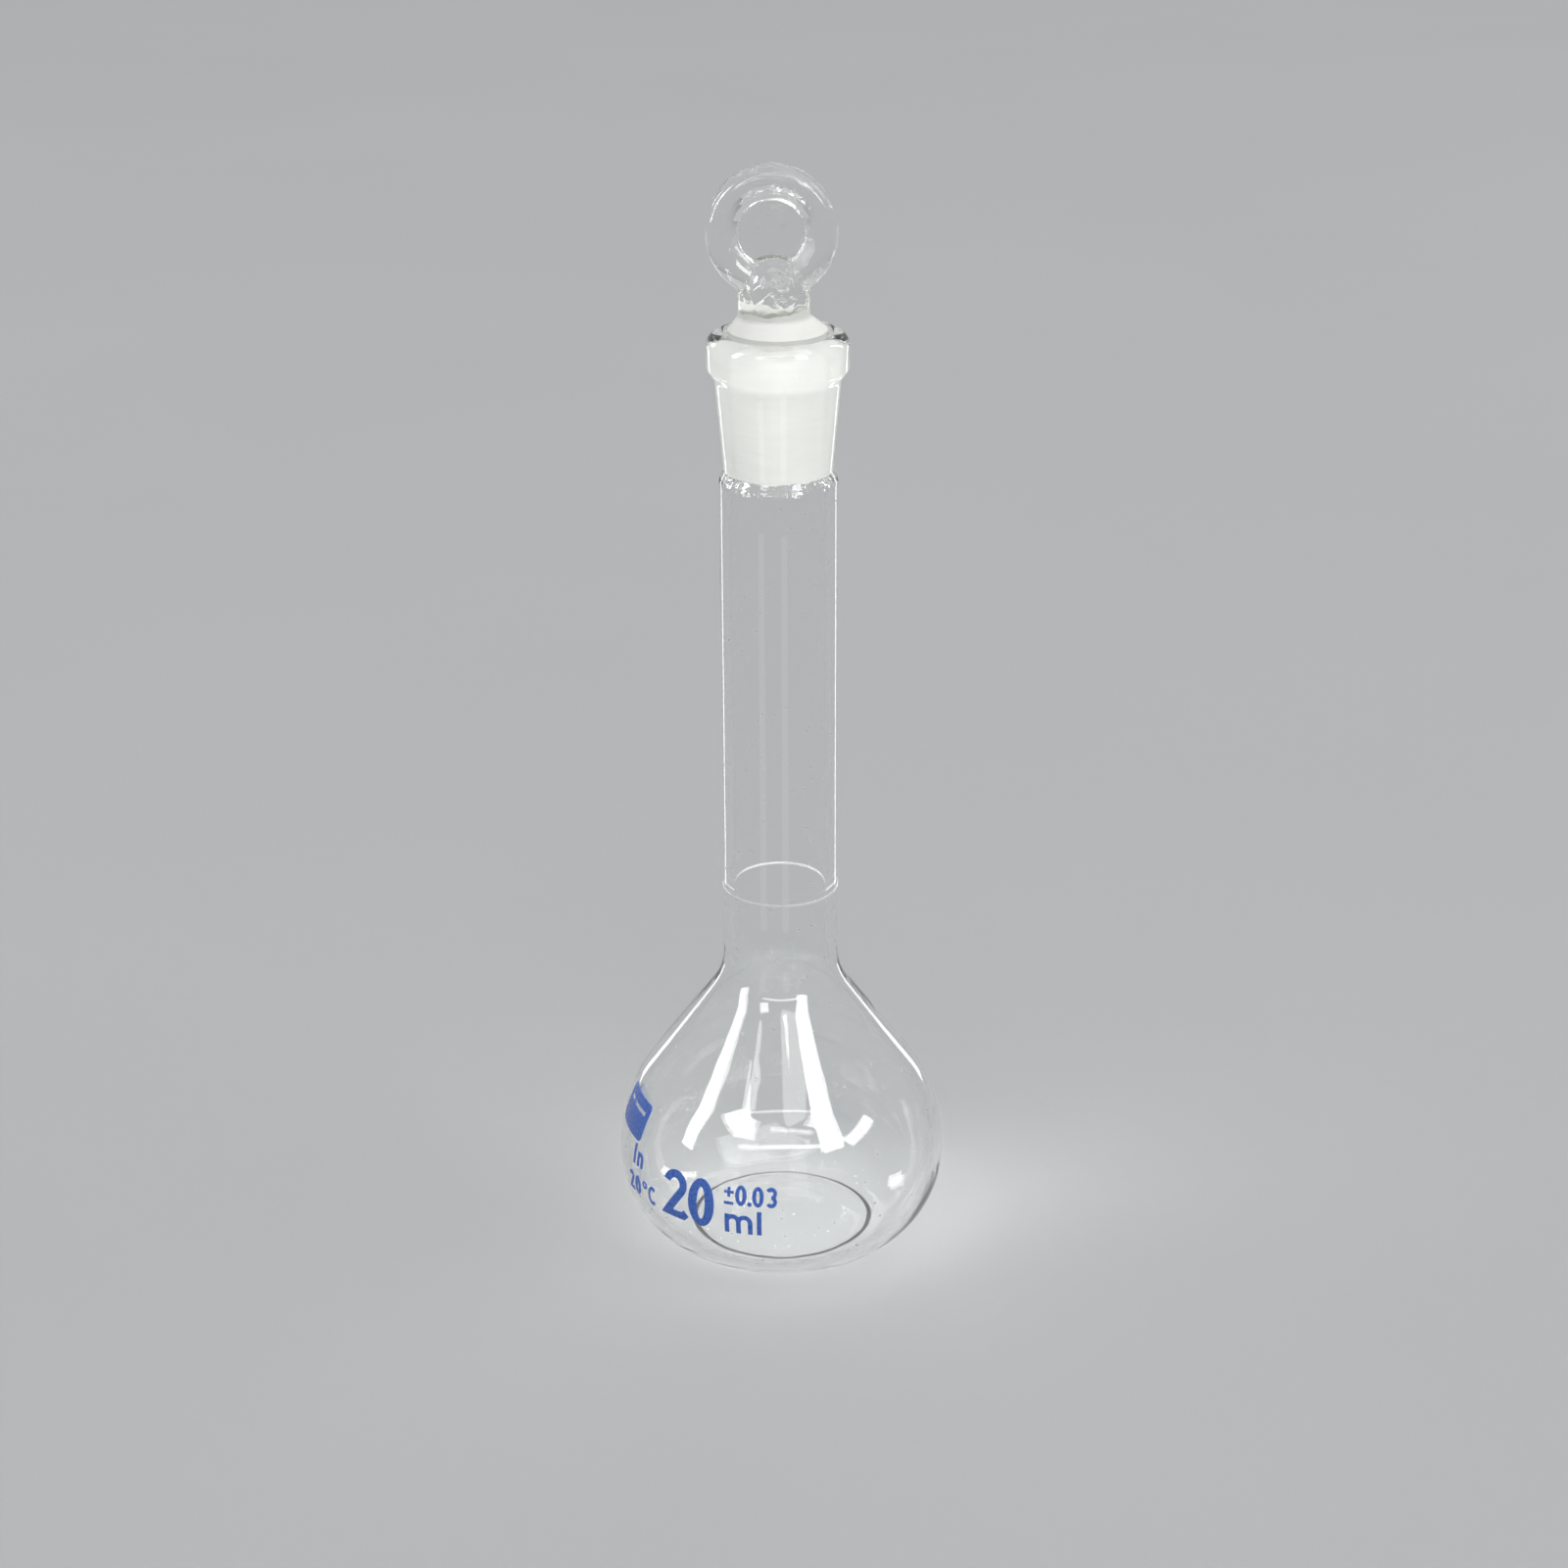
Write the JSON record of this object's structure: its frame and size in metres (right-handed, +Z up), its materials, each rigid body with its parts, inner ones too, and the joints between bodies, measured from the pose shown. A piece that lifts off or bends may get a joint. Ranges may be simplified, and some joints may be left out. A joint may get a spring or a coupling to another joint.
{
  "type": "volumetric flask",
  "caption": "Small clear-glass volumetric flask with a pear-shaped bulb, ringed neck and a ground-glass stopper that lifts out.",
  "frame": {"origin": "middle of the ring that the flask stands on, at the floor", "axes": "+Z up the neck towards the stopper; -Y is the side that the stopper's flat head faces"},
  "size_m": [0.037, 0.037, 0.1237],
  "materials": {
    "clear_glass": "clear fire-polished borosilicate glass",
    "ground_glass": "clear glass with a frosted ground joint",
    "blue_enamel": "fired blue enamel",
    "white_enamel": "fired white enamel"
  },
  "bodies": {
    "flask": {"bulb": "clear_glass", "neck_tube": "clear_glass", "ground_socket": "ground_glass", "graduation_ring": "white_enamel", "print_capacity": "blue_enamel", "print_tolerance": "blue_enamel", "print_unit": "blue_enamel", "print_temperature": "blue_enamel", "print_panel": "blue_enamel"},
    "stopper": {"stopper": "ground_glass"}
  },
  "joints": [
    {"name": "stopper_lift", "type": "slide", "parent": "flask", "child": "stopper", "axis": [0, 0, 1], "range_m": [0, 0.025]}
  ]
}
